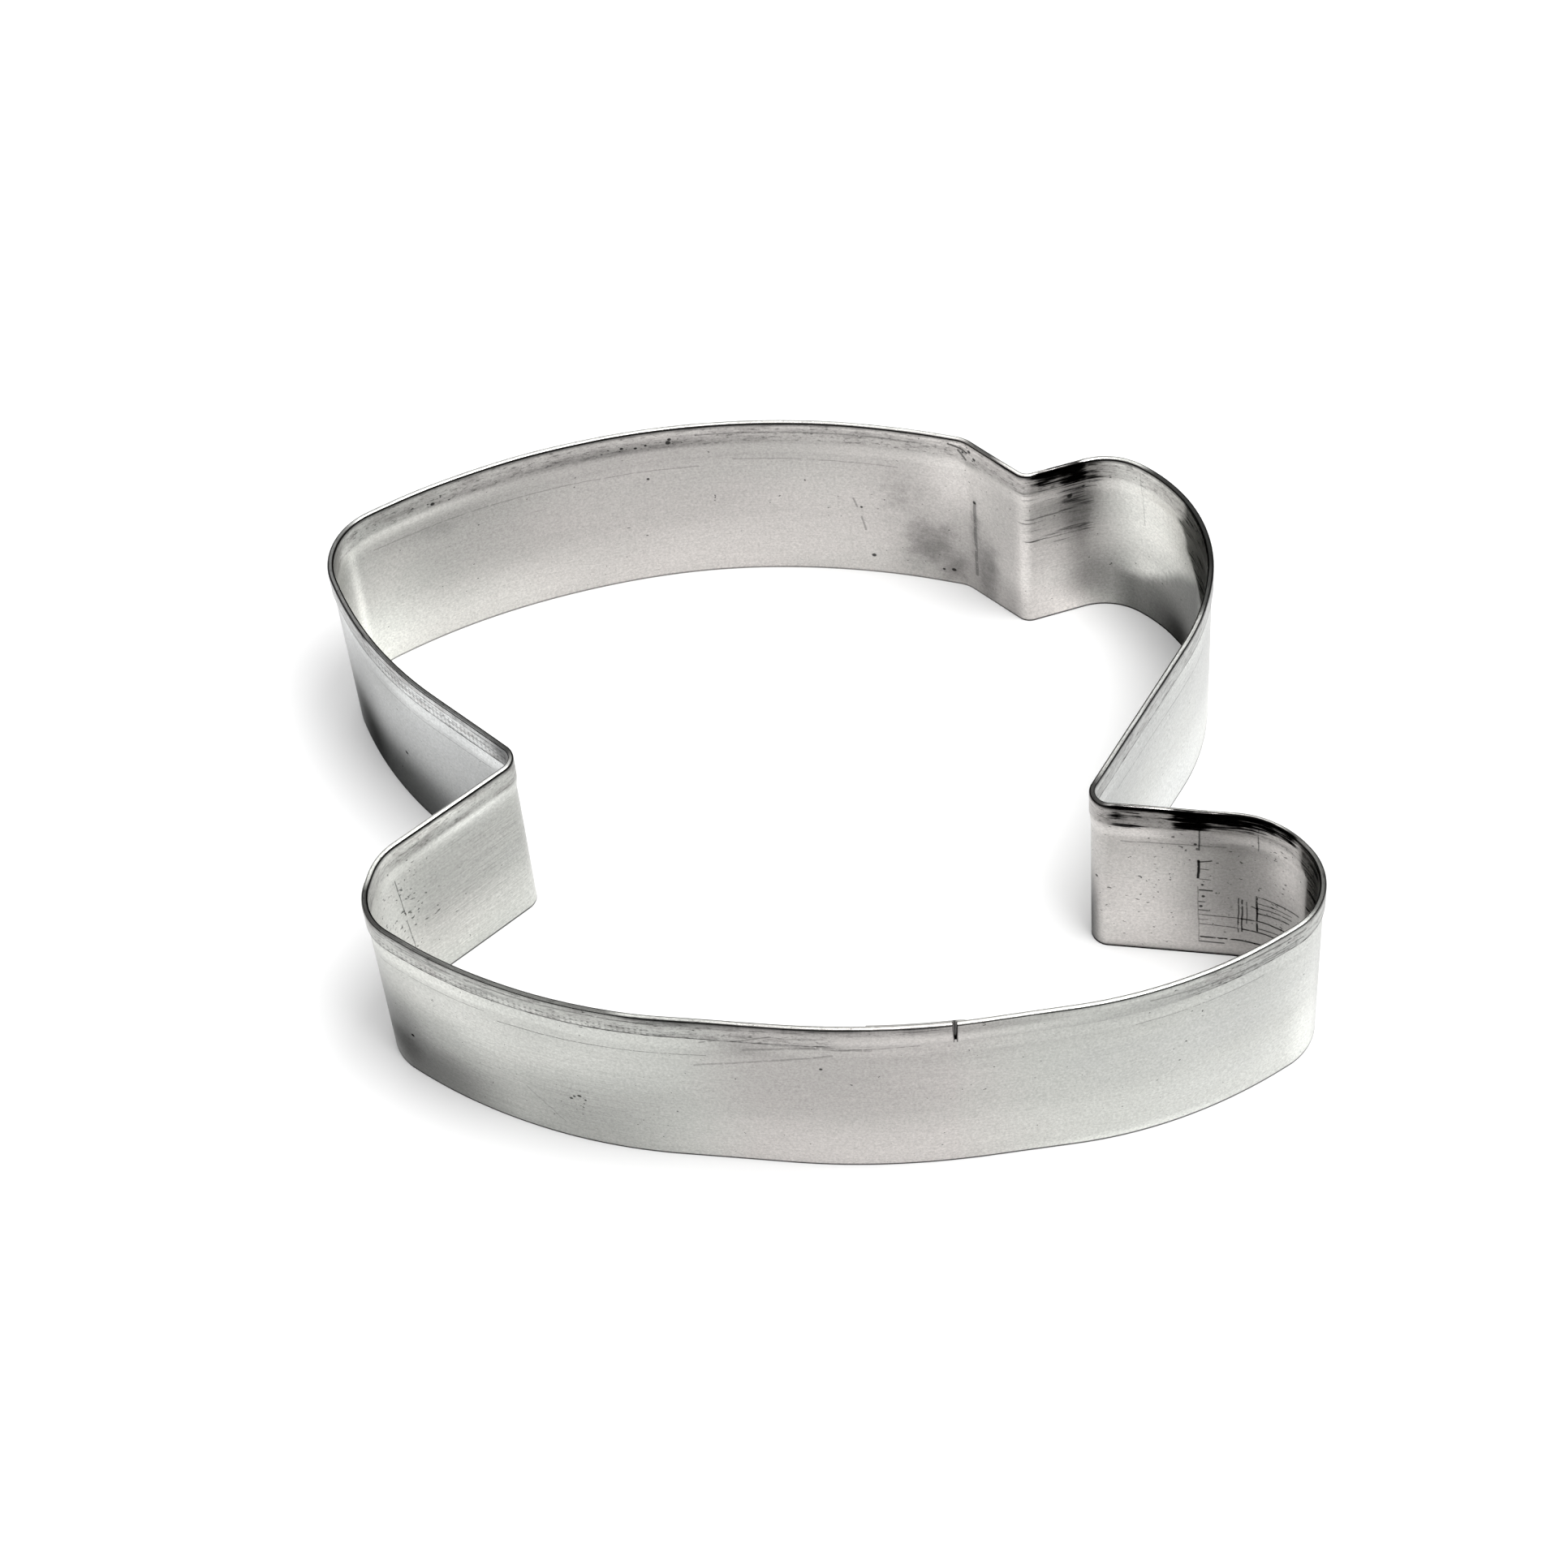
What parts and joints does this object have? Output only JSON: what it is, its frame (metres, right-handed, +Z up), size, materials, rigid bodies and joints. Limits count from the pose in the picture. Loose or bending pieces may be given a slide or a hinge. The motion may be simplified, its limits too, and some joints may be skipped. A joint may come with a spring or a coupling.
{
  "type": "teacup cookie cutter",
  "caption": "Hemmed steel strip bent to the outline of a teacup with its handle, standing on a saucer; open right through, with a plain cutting edge below.",
  "frame": {"origin": "middle of the footprint's bounding box, in the plane of the cutting edge", "axes": "+Z up, from the cutting edge to the hem; +X along the saucer, towards the handle; +Y from the saucer's underside towards the rim of the cup"},
  "size_m": [0.1086, 0.0844, 0.025],
  "materials": {
    "band_steel": "satin, finely scratched along its length, a little stained"
  },
  "bodies": {
    "root": {"cutter_band": "band_steel"}
  },
  "joints": []
}
